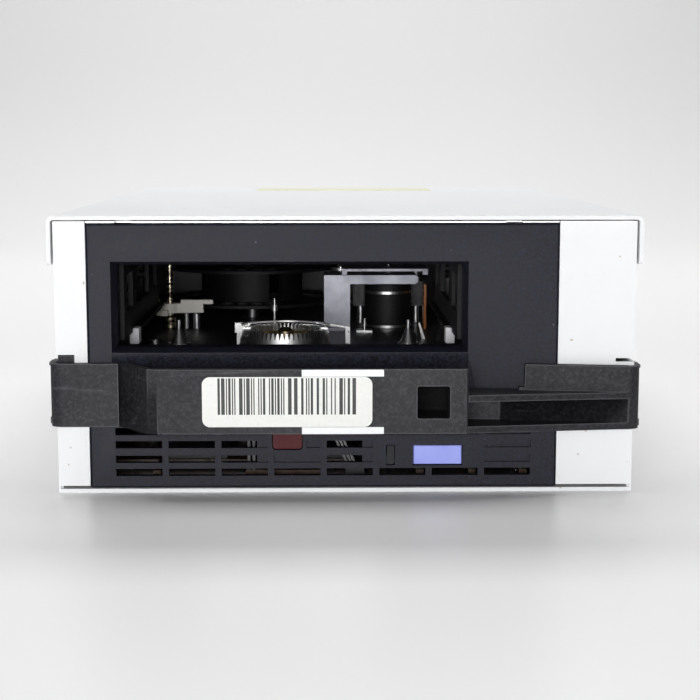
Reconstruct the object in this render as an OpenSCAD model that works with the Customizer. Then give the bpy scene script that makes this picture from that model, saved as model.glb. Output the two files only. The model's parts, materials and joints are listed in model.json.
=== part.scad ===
// Library tape drive: a full-height cartridge drive in its slide-in steel tray.
// X runs across the tray, Y runs from the front to the back, Z is up, in millimetres.
// The origin is on the tray's underside, halfway across and halfway back.

/* [Tray] */
// Width of the front flange left of the drive
flange_left = 10; // [8:1:14]
// Width of the front flange right of the drive
flange_right = 24; // [22:1:34]
// Thickness of the tray's sheet steel
sheet = 1.2; // [1:0.1:1.6]
// Gap between the drive's cover and the underside of the lid
headroom = 0.4; // [0.3:0.1:2]
// Depth of the bay between the drive and the rear panel
rear_bay = 40; // [38:1:60]
// Drop of the lid's side flanges
lid_drop = 15; // [9:1:20]
// Gap between the tray's walls and the lid's side flanges
lid_gap = 0.6; // [0.4:0.1:0.8]
// Outer radius of the lid's bends
lid_bend = 2; // [1.7:0.1:3]
// Reach of the rear panel's ears past the tray
ear_reach = 9; // [8:1:12]

/* [Drive] */
// Width of the drive and of its bezel
drive_w = 146; // [144:1:152]
// Height of the bezel
bezel_h = 82.8; // [81.6:0.2:90]
// Depth of the drive behind the front plane
drive_d = 216; // [214:1:230]
// Thickness of the bezel's face
bezel_face = 2.4; // [2.2:0.2:3.2]
// Depth of the bezel's rim
bezel_rim = 8; // [7:0.5:8]
// Thickness of the drive's sheet covers
cover_t = 0.6; // [0.5:0.1:0.8]
// Height of the deck's top above the tray's underside
deck_z = 35.5; // [35:0.1:36]
// Thickness of the deck
deck_t = 3; // [2:0.5:4]
// Thickness of the drive's cast walls
wall_t = 2; // [1.6:0.1:2.4]

/* [Cartridge] */
// Width of the cartridge
cart_w = 105.4; // [104:0.2:106.4]
// Height of the cartridge
cart_h = 21.5; // [20.5:0.1:21.8]
// Length of the cartridge
cart_d = 102; // [100:0.5:103]
// Place of the slot's middle left of the bezel's middle
slot_shift = 10.3; // [9.8:0.1:10.8]
// Height of the slot's floor above the tray's underside
slot_z = 45.5; // [45.1:0.1:45.9]
// Depth at which the loaded cartridge's front face stops
load_stop = 22; // [20:0.5:22.5]
// Distance that the cartridge drops onto the clutch
drop = 6; // [5:0.5:6]
// Distance that the cam slide travels to drop the cartridge
cam_travel = 24; // [20:1:24]

/* [Reels] */
// Outer radius of the toothed clutch
clutch_r = 16.2; // [15:0.2:17]
// Number of teeth on the clutch
clutch_teeth = 60; // [40:4:72]
// Height of the clutch's teeth above the tray's underside
clutch_top = 42.7; // [42.1:0.1:43.1]
// Radius of the take-up reel's flanges
reel_r = 36; // [30:0.5:36.5]
// Radius of the take-up reel's hub
reel_hub_r = 21; // [16:0.5:24]
// Radius of both reel motors
motor_r = 27; // [22:0.5:29]
// Radius of the tape guide rollers
roller_r = 4; // [3:0.1:4.2]

/* [Cross bar] */
// Height of the cross bar
bar_h = 19.8; // [18:0.2:22]
// Height of the cross bar's lower edge above the tray's underside
bar_z = 21.5; // [20.5:0.5:23]
// Thickness of the cross bar's walls
bar_t = 2.5; // [2:0.1:2.8]
// Thickness of the arms that wrap the tray's sides
arm_t = 1.5; // [1.2:0.1:2]
// Angle by which the right arm sags
bar_sag = 1.3; // [0:0.1:1.5]
// Reach of the bar's middle in front of the front plane
bar_reach = 15.5; // [13:0.5:18]
// Side of the square target hole
target_hole = 9.9; // [8:0.1:11]
// Width of the label
label_w = 51.4; // [40:0.2:54]
// Height of the label
label_h = 15.3; // [12:0.1:15.4]

/* [Controls and vents] */
// Width of the unload button
button_w = 15.1; // [12:0.1:16]
// Height of the unload button
button_h = 6; // [4:0.1:6.2]
// Travel of the unload button
button_travel = 1.2; // [0.6:0.1:1.2]
// Gap round the button, lens and window
button_gap = 0.3; // [0.2:0.05:0.4]
// Distance between neighbouring vent columns
vent_pitch = 16.5; // [16:0.1:17]
// Width of a vent slot
vent_w = 14.5; // [12:0.1:15]
// Height of a vent slot
vent_h = 2.3; // [1.6:0.1:2.4]

/* [Hidden] */
$fn = 48;
e = 0.02;
fit = 0.3;

tray_w = flange_left + drive_w + flange_right;
tray_d = drive_d + rear_bay;
front_y = -tray_d / 2;
bezel_z = sheet + fit;
bezel_top = bezel_z + bezel_h;
cover_z = bezel_top + 0.15;
lid_z = cover_z + cover_t + headroom;
tray_h = lid_z + sheet;
wall_x = tray_w / 2;
lid_x = wall_x + lid_gap + sheet;

drive_x0 = flange_left - wall_x;
drive_x1 = drive_x0 + drive_w;
bezel_x = (drive_x0 + drive_x1) / 2;
slot_x = bezel_x - slot_shift;

slot_side = 1.4;
slot_w = cart_w + 2 * slot_side;
slot_h = cart_h + 4.3;
slot_bevel = 1.2;
slot_top_bevel = 1.3;
tunnel_d = 10;

frame_in = cover_t;
rail_gap = 0.5;
rail_t = 1.6;
rail_in = cart_w / 2 + rail_gap;
rail_out = rail_in + rail_t;
cam_t = 1.5;
cam_in = rail_out + 2.3;
cam_out = cam_in + cam_t;
track_in = cam_out + 1.5;
ledge_z = slot_z + 2;
ledge_t = 1.4;
roof_z = slot_z + slot_h + 0.2;
pin_r = 1.5;
pin_z = 60.5;
pin_d = [44, 92];
pin_play = 0.1;
saddle_back = load_stop + cart_d - 6;

hub = [slot_x - 3.3, load_stop + cart_d / 2];
reel = [slot_x - 19.7, drive_d - reel_r - 8];
deck_low = deck_z - deck_t;
pan_z = sheet;
board_z = pan_z + cover_t + 1.6;
board_t = 1.6;
frame_z = pan_z + cover_t;
motor_z = 14;
spindle_r = 4;
clutch_in = clutch_r - 3.5;
tooth_deep = 2.6;
tooth_gap = 0.9 * PI * clutch_in / clutch_teeth;

roller = [[slot_x + 60.2, load_stop + cart_d + 6], [slot_x + 59.8, load_stop + cart_d + 29.7],
  [slot_x + 17.3, reel[1] - 18.3]];
roller_z = deck_z + 7.5;
roller_h = 14.5;
post_r = 1.5;

bracket_d = load_stop + cart_d + 3;
bracket_x = slot_x + 10.5;
bracket_z = 56.8;
bracket_w = 10.2;
rod_d = bracket_d + 23;
rod_x = [bracket_x + 14.8, bracket_x + 37.3];
rod_r = 1.5;
rod_top = bracket_z + 1.3;
screw_x = (rod_x[0] + rod_x[1]) / 2;
head_z = deck_z + 12;
coil_x = bracket_x + 25.4;
coil_d = bracket_d + 10.5;
coil_r = 9.25;
coil_h = 17.2;

rack_x = slot_x + cam_out + 5.2;
rack_m = 1;
gear_n = 14;
gear_r = rack_m * gear_n / 2;
gear_x = rack_x + gear_r;
gear_d = 66;
train_m = 0.6;
wheel_n = 28;
drive_n = 10;
train_gap = train_m * (wheel_n + drive_n) / 2;
loader_d = gear_d + train_gap;
link_z = roof_z + 4.1;
link_t = 1.5;

lever_x = slot_x - 50.1;
lever_d = bracket_d + 3;
lever_z = 42;

button_x = bezel_x + 35.8;
button_z = 11.7;
lens_x = bezel_x + 21;
lens_w = 2.2;
lens_h = 6;
window_x = bezel_x - 11.3;
window_w = 9.1;
window_z = [13.7, 22.9];
vent_x = bezel_x - 65;
vent_z = [19.45, 15.25, 10.6, 6.4];
vent_blind = 0.9;
board_front = 26;
socket_x = window_x + 18.3;
bit_x = [drive_x0 + 18.6, drive_x1 - 43.4, drive_x1 - 26.6, drive_x1 - 10.3];

bar_top = bar_z + bar_h;
arm_reach = 3;
arm_wrap = 9;
bar_gap = 0.3;
bar_x = wall_x + bar_gap + arm_t;
hook_rise = 1.9;
mid_x = [bezel_x - 53.2, bezel_x + 43.8];
web_x = bezel_x - 63.4;
wing_x = bezel_x + 62.2;
rib_t = 2.1;
rib_z = bar_z + 11.7;
wing_drop = (wall_x - mid_x[1]) * sin(bar_sag);

fan_side = 40;
fan_deep = 20;
fan_x = -50;
fan_z = 44;
inner_back = tray_d - sheet;
screw_z = 55;
screw_r = 2;
shoulder_r = 2.6;
ear_x = wall_x + ear_reach - 4.5;

function mid(a, b) = (a + b) / 2;

// A box between low and high values, with depths counted back from the front plane.
module block(x, d, z)
  translate([x[0], front_y + d[0], z[0]])
    cube([x[1] - x[0], d[1] - d[0], z[1] - z[0]]);

// A place at a depth behind the front plane.
module at(x, d, z = 0)
  translate([x, front_y + d, z])
    children();

// A flat rectangle with round corners, drawn about its middle.
module round_rect(w, h, r) {
  square([w - 2 * r, h], center = true);
  square([w, h - 2 * r], center = true);
  for (i = [-1, 1], j = [-1, 1])
    translate([i * (w / 2 - r), j * (h / 2 - r)])
      circle(r);
}

// A flat drawing stood up to face the front, from one depth to another.
module facing(x, z, d)
  translate([x, front_y + d[1], z])
    rotate([90, 0, 0])
      linear_extrude(d[1] - d[0])
        children();

// A flat drawing of depth and height, pushed across from one side to the other.
module across(x)
  translate([x[0], front_y, 0])
    rotate([90, 0, 90])
      linear_extrude(x[1] - x[0])
        children();

module ring(outer, inner, h)
  difference() {
    cylinder(r = outer, h = h);
    translate([0, 0, -e])
      cylinder(r = inner, h = h + 2 * e);
  }

// Straight-flanked teeth, a little thinner than their gaps so that a pair runs free.
function tooth_ring(n, m, turn) = [for (i = [0:n - 1], k = [0:3])
  let (r = k == 0 || k == 3 ? m * (n / 2 - 1.2) : m * (n / 2 + 0.85),
    half = k == 0 || k == 3 ? 0.37 : 0.13,
    a = 360 / n * (i + (k < 2 ? -half : half)) + turn)
  [r * cos(a), r * sin(a)]];

module tray_chassis()
  color("white") {
    difference() {
      union() {
        block([-wall_x, wall_x], [0, inner_back], [0, sheet]);
        for (s = [-1, 1])
          mirror([s > 0 ? 1 : 0, 0, 0]) {
            block([-wall_x, -wall_x + sheet], [0, inner_back], [0, lid_z - headroom]);
            block([-wall_x, -wall_x + sheet], [6, inner_back], [lid_z - headroom - e, lid_z]);
            block([-wall_x, -wall_x + 8], [6, inner_back], [lid_z - sheet, lid_z]);
          }
        block([-wall_x, drive_x0 - 0.15], [0, sheet], [0, lid_z - headroom]);
        block([drive_x1 + 0.15, wall_x], [0, sheet], [0, lid_z - headroom]);
      }
      for (s = [-1, 1])
        mirror([s > 0 ? 1 : 0, 0, 0]) {
          for (d = lid_screw_d())
            at(-wall_x - e, d, lid_screw_z())
              rotate([0, 90, 0])
                cylinder(r = 1.5, h = sheet + 2 * e);
        }
      block([-wall_x - e, -wall_x + 5.8], [-e, 7], [bar_top - 4, bar_top + hook_rise + 0.5]);
      block([wall_x - 5.8, wall_x + e], [-e, 7], [bar_top - 0.1, bar_top + 1]);
      for (s = [-1, 1])
        at(s * wall_x, tray_d / 2, lid_z)
          rotate([0, 45, 0])
            cube([sheet * 0.8, tray_d + 2, sheet * 0.8], center = true);
      block([-wall_x + 0.6, wall_x - 0.6], [-e, sheet + e], [sheet, sheet + 1]);
      for (p = mount_screws())
        at(p[0], p[1], -e)
          cylinder(r = 2.1, h = sheet + 2 * e);
    }
    for (p = tray_studs())
      at(p[0], p[1], sheet - e)
        cylinder(r = 2.5, h = 4 + e);
  }

function lid_screw_d() = [9, tray_d / 2, tray_d - 12];
function lid_screw_z() = tray_h - lid_drop + 3.2;
function mount_screws() = [for (x = [drive_x0 + 9, drive_x1 - 9], d = [60, 170]) [x, d]];
function tray_studs() = [for (x = [-wall_x + 12, wall_x - 12], d = [drive_d + 8, inner_back - 8])
  [x, d]];

module tray_lid()
  color("white")
    difference() {
      translate([0, front_y + tray_d, tray_h])
        rotate([90, 0, 0])
          linear_extrude(tray_d + 1)
            difference() {
              translate([0, -tray_h / 2])
                round_rect(2 * lid_x, tray_h, lid_bend);
              translate([0, -sheet - tray_h / 2])
                round_rect(2 * (lid_x - sheet), tray_h, lid_bend - sheet + 0.1);
              translate([-tray_w, -2 * tray_h])
                square([2 * tray_w, 2 * tray_h - lid_drop]);
            }
      for (s = [-1, 1])
        mirror([s > 0 ? 1 : 0, 0, 0]) {
          across([-lid_x - 1, -wall_x])
            translate([1, tray_h - lid_drop + 2])
              difference() {
                translate([-3, -3])
                  square([3, 3]);
                circle(2);
              }
          for (d = lid_screw_d())
            at(-lid_x - e, d, lid_screw_z())
              rotate([0, 90, 0])
                cylinder(r = 1.6, h = sheet + 2 * e);
        }
    }

module lid_screws()
  color("silver")
    for (s = [-1, 1], d = lid_screw_d())
      mirror([s > 0 ? 1 : 0, 0, 0])
        at(-lid_x, d, lid_screw_z())
          rotate([0, 90, 0]) {
            translate([0, 0, -0.9])
              cylinder(r1 = 2, r2 = 2.7, h = 0.9);
            cylinder(r = 1.4, h = 4);
          }

module rear_panel()
  color("white")
    difference() {
      facing(0, (lid_z - fit) / 2, [inner_back, tray_d])
        round_rect(2 * (wall_x + ear_reach), lid_z - fit, 2);
      for (s = [-1, 1]) {
        at(s * ear_x, inner_back - e, screw_z)
          rotate([-90, 0, 0])
            cylinder(r = shoulder_r + 0.05, h = sheet + 2 * e);
        block([s > 0 ? wall_x + e : -wall_x - ear_reach - e, s > 0 ? wall_x + ear_reach + e : -wall_x],
          [inner_back - e, tray_d + e], [lid_z - 16, lid_z]);
        block([s > 0 ? wall_x + e : -wall_x - ear_reach - e, s > 0 ? wall_x + ear_reach + e : -wall_x],
          [inner_back - e, tray_d + e], [-e, 14]);
      }
      for (k = [1:4], i = [0:6 * k - 1])
        at(fan_x + 4.2 * k * cos(60 / k * i), inner_back - e, fan_z + 4.2 * k * sin(60 / k * i))
          rotate([-90, 0, 0])
            cylinder(r = 1.6, h = sheet + 2 * e);
      for (i = [-1, 1], j = [-1, 1])
        at(fan_x + i * 16, inner_back - e, fan_z + j * 16)
          rotate([-90, 0, 0])
            cylinder(r = 1.7, h = sheet + 2 * e);
      for (x = cage_x())
        block([x - 7.2, x + 7.2], [inner_back - e, tray_d + e], [cage_z() - 0.2, cage_z() + 10.2]);
      block([jack_x() - 8.2, jack_x() + 8.2], [inner_back - e, tray_d + e],
        [cage_z() - 0.2, cage_z() + 13.7]);
      block([power_x() - 21.2, power_x() + 21.2], [inner_back - e, tray_d + e],
        [cage_z() - 0.2, cage_z() + 10.2]);
      for (s = [-1, 1])
        at(handle_x() + s * 30, inner_back - e, handle_z())
          rotate([-90, 0, 0])
            cylinder(r = 2.05, h = sheet + 2 * e);
    }

function cage_x() = [4, 22];
function jack_x() = 43;
function power_x() = -54;
function cage_z() = sheet + 4 + board_t;
function handle_x() = 25;
function handle_z() = 56;

module pull_handle()
  color("dimgray")
    at(handle_x(), tray_d, handle_z()) {
      for (s = [-1, 1]) {
        translate([s * 30, 0, 0])
          rotate([-90, 0, 0])
            cylinder(r = 3, h = 16);
        translate([s * 30, -sheet - 3, 0])
          rotate([-90, 0, 0])
            cylinder(r = 2, h = sheet + 3 + e);
        translate([s * 30, -sheet - 3, 0])
          rotate([90, 0, 0])
            translate([0, 0, -3])
              ring(4, 1.9, 3);
        translate([s * 22, 16, 0])
          rotate([0, 0, s > 0 ? 0 : 90])
            rotate_extrude(angle = 90)
              translate([8, 0])
                circle(3);
      }
      translate([-22, 24, 0])
        rotate([0, 90, 0])
          cylinder(r = 3, h = 44);
    }

module thumbscrew(x)
  color("silver")
    at(x, tray_d, screw_z)
      rotate([-90, 0, 0]) {
        translate([0, 0, 0.3])
          difference() {
            cylinder(r = 4.4, h = 9);
            for (i = [0:17])
              rotate([0, 0, 20 * i])
                translate([4.6, 0, 1])
                  cylinder(r = 0.5, h = 9);
            translate([-0.5, -5, 8])
              cube([1, 10, 2]);
          }
        translate([0, 0, -sheet])
          cylinder(r = shoulder_r, h = sheet + 0.4);
        translate([0, 0, -sheet - 9])
          cylinder(r = screw_r, h = 9 + e);
      }

module thumbscrew_left() thumbscrew(-ear_x);
module thumbscrew_right() thumbscrew(ear_x);

// The bar is one moulding: two arms that wrap the tray's corners and a middle that stands forward.
module target_bar()
  color([0.2, 0.2, 0.22])
    difference() {
      union() {
        bar_plan(bar_z, bar_top);
        translate([mid_x[1], 0, bar_z])
          rotate([0, bar_sag, 0])
            translate([-mid_x[1], 0, -bar_z])
              wing();
        translate([0, 0, -wing_drop])
          mirror([1, 0, 0])
            corner_wrap();
        corner_wrap();
        hook();
      }
      facing(mid_x[1] - 10.4, mid(bar_z, bar_top) - 0.3, [-bar_reach - e, 0])
        round_rect(target_hole, target_hole, 0.6);
    }

// The middle plate, its stiffening ribs and the web that joins it to the left arm, in plan.
module bar_plan(z0, z1) {
  at(0, 0, z0)
    linear_extrude(z1 - z0)
      polygon([[mid_x[0], -bar_reach + 1.1], [mid_x[0] + 3, -bar_reach + 0.45],
        [mid_x[0] + 9, -bar_reach], [mid_x[1] - 0.5, -bar_reach], [mid_x[1], -bar_reach + 0.5],
        [mid_x[1], -bar_reach + bar_t], [mid_x[0] + 1.2, -bar_reach + bar_t + 0.6],
        [web_x + 2.5, -0.5], [-wall_x + 4, -0.5], [-wall_x + 4, -arm_reach],
        [web_x, -arm_reach], [web_x, -arm_reach + 1]]);
  for (z = [z0, rib_z - rib_t])
    at(0, 0, z)
      linear_extrude(rib_t)
        polygon([[mid_x[0] + 1, -bar_reach + bar_t], [mid_x[1], -bar_reach + bar_t - e],
          [mid_x[1], -0.5], [web_x + 3, -0.5]]);
  at(0, 0, z0)
    linear_extrude(rib_z - z0)
      for (x = [mid_x[0] + 22, mid_x[1] - 19, mid_x[1] - bar_t])
        translate([x, -bar_reach + bar_t - e])
          square([bar_t - 0.5, bar_reach - bar_t - 0.5]);
  block([mid_x[1] - 10.4 - target_hole / 2 - 1.5, mid_x[1] - 10.4 + target_hole / 2 + 1.5],
    [-bar_reach + bar_t - e, -0.5], [bar_z, rib_z + 4.6]);
}

// The right arm: a web with two ribs that taper towards the corner, and a plate above them.
module wing() {
  for (z = [bar_z, rib_z - rib_t])
    at(0, 0, z)
      linear_extrude(rib_t)
        polygon([[mid_x[1] - e, -bar_reach + 0.3], [wall_x - 2.2, -arm_reach], [wall_x - 2.2, -0.5],
          [mid_x[1] - e, -0.5]]);
  block([mid_x[1] - e, mid_x[1] + 11], [-2, -0.5], [bar_z, rib_z]);
  block([mid_x[1] + 11 - e, wall_x - 2.2], [-arm_reach, -0.5], [bar_z, rib_z]);
  block([wing_x, wall_x - 2.2], [-arm_reach, -0.5], [rib_z - e, bar_top]);
  block([wing_x - 1.6, wing_x + e], [-arm_reach, -0.5], [rib_z - e, rib_z + 0.8]);
  block([wall_x - 6, wall_x - 2.2], [-arm_reach, -0.5], [bar_z, bar_top]);
}

// Each end wraps round the tray's corner, with a low bead at its top and bottom.
module corner_wrap() {
  corner = 4;
  at(0, 0, bar_z)
    linear_extrude(bar_h)
      difference() {
        union() {
          translate([-bar_x + corner, -arm_reach])
            square([corner + 6, arm_reach - 0.5]);
          translate([-bar_x, -arm_reach + corner])
            square([bar_x - wall_x - bar_gap, arm_wrap + arm_reach - corner]);
          translate([-bar_x + corner, -arm_reach + corner])
            circle(corner);
        }
        translate([-wall_x - bar_gap, -0.5])
          square([corner + 20, arm_wrap + 10]);
      }
  for (z = [[bar_z + 0.5, bar_z + 2.5], [bar_top - 1, bar_top]])
    block([-bar_x - 0.4, -bar_x + e], [corner - arm_reach, arm_wrap - 2], z);
}

// The left end also hooks into the notch behind the flange.
module hook() {
  low = bar_top - 3.4;
  block([-wall_x - bar_gap - e, -wall_x + 5.3], [2.2, 4.6], [low, bar_top - 0.6]);
  block([-wall_x + 0.3, -wall_x + 5.3], [2.2, 4.6], [low, bar_top + hook_rise]);
}

module barcode_label()
  color("ivory")
    facing(mid_x[0] + 42.3, mid(bar_z, bar_top), [-bar_reach - 0.2, -bar_reach])
      round_rect(label_w, label_h, 2.4);

module target_strips()
  color("white")
    for (z = [bar_z + 1.1, bar_top - 1.1])
      facing(mid_x[0] + 59.1, z, [-bar_reach - 0.25, -bar_reach])
        square([24.8, 2.1], center = true);

// Kinds of vent, column by column: 1 open, 2 open with a blind end, 3 blind, 4 short, 0 none.
vent_rows = [[1, 1, 1, 0, 1, 1, 1, 3], [1, 1, 2, 4, 2, 0, 0, 3], [1, 1, 2, 3, 2, 0, 0, 3],
  [1, 1, 1, 1, 1, 1, 1, 1]];

module vents()
  for (row = [0:3], col = [0:7]) {
    kind = vent_rows[row][col];
    x = vent_x + vent_pitch * col;
    z = [vent_z[row] - vent_h / 2, vent_z[row] + vent_h / 2];
    if (kind == 1)
      block([x, x + vent_w], [-e, bezel_face + e], z);
    if (kind == 2) {
      block([x, x + vent_w * 0.77], [-e, bezel_face + e], z);
      block([x, x + vent_w], [-e, vent_blind], z);
    }
    if (kind > 2)
      block([x + (kind == 4 ? vent_w * 0.7 : 0), x + vent_w], [-e, vent_blind], z);
  }

module drive_bezel()
  color([0.24, 0.24, 0.27])
    difference() {
      union() {
        difference() {
          block([drive_x0, drive_x1], [0, bezel_rim], [bezel_z, bezel_top]);
          block([drive_x0 + 2, drive_x1 - 2], [bezel_face, bezel_rim + e],
            [bezel_z + 2, bezel_top - 2]);
        }
        block([slot_x - slot_w / 2 - 1.5, slot_x + slot_w / 2 + 1.5], [bezel_face - e, tunnel_d],
          [slot_z - 1.5, slot_z + slot_h + 1.5]);
        block([button_x - button_w / 2 - 2, button_x + button_w / 2 + 2],
          [bezel_face - e, bezel_face + 4], [button_z + button_h / 2 + button_gap + 1.2,
          button_z + button_h / 2 + button_gap + 2.4]);
      }
      slot_mouth();
      scoop();
      vents();
      edge_chamfers();
      block([button_x - button_w / 2 - button_gap, button_x + button_w / 2 + button_gap],
        [-e, bezel_face + e],
        [button_z - button_h / 2 - button_gap, button_z + button_h / 2 + button_gap]);
      facing(lens_x, button_z, [-e, bezel_face + e])
        round_rect(lens_w + 2 * button_gap, lens_h + 2 * button_gap, 0.6);
      facing(window_x, mid(window_z[0], window_z[1]), [-e, bezel_face + e])
        round_rect(window_w + 2 * button_gap, window_z[1] - window_z[0] + 2 * button_gap, 1.3);
    }

// The slot narrows from its bevelled mouth to the tunnel that guides the cartridge.
module slot_mouth() {
  low = slot_z - slot_bevel;
  high = slot_z + slot_h + slot_top_bevel;
  half = slot_w / 2 + slot_bevel;
  translate([slot_x, front_y, 0])
    hull() {
      translate([-half, -e, low])
        cube([2 * half, e, high - low]);
      translate([-slot_w / 2, 5, slot_z])
        cube([slot_w, e, slot_h]);
    }
  block([slot_x - slot_w / 2, slot_x + slot_w / 2], [4, tunnel_d + e], [slot_z, slot_z + slot_h]);
}

// A shallow hollow below the slot gives a gripper room under the cartridge.
module scoop() {
  scoop_r = 31;
  low = bar_z + 1.6;
  high = slot_z - slot_bevel - 0.4;
  at(slot_x - slot_w / 2 - slot_bevel, 1.8 - scoop_r, mid(low, high))
    rotate([0, 90, 0])
      cylinder(r = scoop_r, h = slot_w + 2 * slot_bevel, $fn = 96);
}

module edge_chamfers() {
  side = 0.6 * sqrt(2);
  for (z = [bezel_z, bezel_top])
    at(bezel_x, 0, z)
      rotate([45, 0, 0])
        cube([drive_w + 2, side, side], center = true);
  for (x = [drive_x0, drive_x1])
    at(x, 0, mid(bezel_z, bezel_top))
      rotate([0, 0, 45])
        cube([side, side, bezel_h + 2], center = true);
}

module unload_button()
  color([0.6, 0.62, 0.98]) {
    block([button_x - button_w / 2, button_x + button_w / 2], [0.3, bezel_face + 0.6],
      [button_z - button_h / 2, button_z + button_h / 2]);
    block([button_x - button_w / 2 - 1, button_x + button_w / 2 + 1],
      [bezel_face + 0.2, bezel_face + 1.2],
      [button_z - button_h / 2 - 1, button_z + button_h / 2 + 1]);
    at(button_x, bezel_face + 1, button_z)
      rotate([-90, 0, 0])
        cylinder(r = 1.5, h = switch_d() - button_travel - 0.3 - bezel_face - 1);
  }

function switch_d() = bezel_rim + 2;

module unload_switch()
  color([0.12, 0.12, 0.13]) {
    block([button_x - 3, button_x + 3], [switch_d() + 1, panel_d()], [button_z - 3, button_z + 3]);
    at(button_x, switch_d(), button_z)
      rotate([-90, 0, 0])
        cylinder(r = 1.4, h = 1 + e);
  }

function panel_d() = switch_d() + 3.4;

module status_lens()
  color([0.15, 0.15, 0.17])
    facing(lens_x, button_z, [0.3, bezel_face + 0.6])
      round_rect(lens_w, lens_h, 0.4);

module display_window()
  color([0.36, 0.1, 0.12])
    facing(window_x, mid(window_z[0], window_z[1]), [0.4, bezel_face + 0.3])
      round_rect(window_w, window_z[1] - window_z[0], 1);

module display_module()
  color([0.1, 0.1, 0.11]) {
    block([window_x - 6, window_x + 6], [bezel_face + 0.3, panel_d()],
      [window_z[0] - 1.2, window_z[1] + 1.2]);
    for (x = [-5, 4])
      block([window_x + x, window_x + x + 1], [panel_d() - 2, panel_d()],
        [board_z + board_t, window_z[0]]);
  }

module front_board()
  color([0.1, 0.3, 0.16])
    difference() {
      union() {
        block([lens_x - 4, drive_x1 - 4], [panel_d(), panel_d() + 1.2], [board_z + board_t, 23]);
        block([lens_x - 1, lens_x + 1], [bezel_face + 0.9, panel_d() + e],
          [button_z - 1.5, button_z + 1.5]);
      }
      at(drive_x1 - 8, panel_d() - e, 19)
        rotate([-90, 0, 0])
          cylinder(r = 1.4, h = 1.4);
    }

module drive_pan()
  color("silver")
    difference() {
      union() {
        block([drive_x0 + frame_in, drive_x1 - frame_in], [bezel_rim + fit, drive_d],
          [pan_z, pan_z + cover_t]);
        for (p = pan_bosses())
          at(p[0], p[1], pan_z + cover_t - e)
            cylinder(r = 3, h = board_z - pan_z - cover_t + e);
      }
      for (p = mount_screws())
        at(p[0], p[1], pan_z - e)
          cylinder(r = 2.1, h = cover_t + 2 * e);
    }

function pan_bosses() = [for (x = [drive_x0 + 8, drive_x1 - 8],
  d = [board_front + 8, mid(board_front, drive_d - 8), drive_d - 16]) [x, d]];

module main_board()
  color([0.45, 0.3, 0.16])
    difference() {
      union() {
        block([drive_x0 + 3, drive_x1 - 3], [board_front, drive_d - 10],
          [board_z, board_z + board_t]);
        for (x = board_tongues())
          block(x, [9, board_front + e], [board_z, board_z + board_t]);
      }
      for (p = mount_screws())
        at(p[0], p[1], board_z - e)
          cylinder(r = 3.8, h = board_t + 2 * e);
    }

// Tongues of the main board reach forward under the display and beside the front board.
function board_tongues() = concat([[window_x - 13.6, window_x + 10.2]],
  [for (x = bit_x) [x, x + 2.4]]);

// Chips, capacitors and sockets that stand on the main board.
module board_parts()
  color([0.3, 0.3, 0.32]) {
    top = board_z + board_t;
    chip_w = 14;
    for (x = [drive_x0 + 13, drive_x0 + 39, drive_x1 - 55, drive_x1 - 29])
      block([x, x + chip_w], [128, 142], [top, top + 1.6]);
    for (x = [drive_x0 + 21, bezel_x - 12, drive_x1 - 43])
      block([x, x + 20], [board_front + 2, board_front + 22], [top, top + 2]);
    for (i = [0:4])
      at(drive_x0 + 13 + 8 * i, board_front + 30, top)
        cylinder(r = 2.2, h = 5);
    block([socket_x, socket_x + 6], [10.5, board_front], [board_z, top + 0.4]);
  }

module drive_frame()
  color([0.13, 0.13, 0.14])
    difference() {
      union() {
        block([drive_x0 + frame_in, drive_x0 + frame_in + wall_t], [bezel_rim + fit, drive_d],
          [frame_z, cover_z]);
        block([drive_x1 - frame_in - wall_t, drive_x1 - frame_in], [bezel_rim + fit, drive_d],
          [frame_z, cover_z]);
        block([drive_x0 + frame_in, drive_x1 - frame_in], [drive_d - wall_t, drive_d],
          [frame_z, cover_z]);
        block([drive_x0 + frame_in, drive_x1 - frame_in], [tunnel_d + 4, drive_d],
          [deck_low, deck_z]);
        block([drive_x0 + frame_in, slot_x - track_in], [bezel_rim + fit, saddle_back],
          [deck_z - e, roof_z]);
        block([slot_x + track_in, slot_x + track_in + wall_t], [tunnel_d + 4, saddle_back],
          [deck_z - e, roof_z]);
        for (p = [hub, reel])
          at(p[0], p[1], motor_z + 17.5)
            cylinder(r = 12, h = deck_z - motor_z - 17.5);
        for (p = mount_screws())
          at(p[0], p[1], frame_z)
            cylinder(r = 3.4, h = deck_low - frame_z + e);
        at(gear_x, gear_d, deck_z - e)
          cylinder(r = 3, h = roof_z - deck_z + e);
        at(gear_x, gear_d, roof_z - e)
          cylinder(r = post_r, h = 8.4);
      }
      at(hub[0], hub[1], motor_z)
        cylinder(r = spindle_r + 1, h = 60);
      at(hub[0], hub[1], deck_z - 1.5)
        cylinder(r = clutch_r + 1.2, h = 5);
      at(reel[0], reel[1], motor_z)
        cylinder(r = spindle_r + 1, h = 60);
      at(screw_x, rod_d, deck_low - e)
        cylinder(r = 1.25, h = deck_t + 2 * e);
      for (p = mount_screws())
        at(p[0], p[1], frame_z - e)
          cylinder(r = 1.6, h = 9);
      for (s = [-1, 1], d = pin_d)
        at(slot_x + s * (track_in + wall_t / 2), d, 0)
          translate([0, 0, pin_z - drop / 2])
            rotate([0, 90, 0])
              pin_track();
      block([drive_x0 + 20, drive_x1 - 20], [drive_d - wall_t - e, drive_d + e], [8, 22]);
    }

// The upright slot that keeps a tray pin from moving along the drive.
module pin_track() {
  slot_r = pin_r + pin_play;
  span = drop / 2;
  translate([0, 0, -wall_t]) {
    for (s = [-1, 1])
      translate([s * span, 0, 0])
        cylinder(r = slot_r, h = 2 * wall_t + 4);
    translate([-span, -slot_r, 0])
      cube([2 * span, 2 * slot_r, 2 * wall_t + 4]);
  }
}

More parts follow.
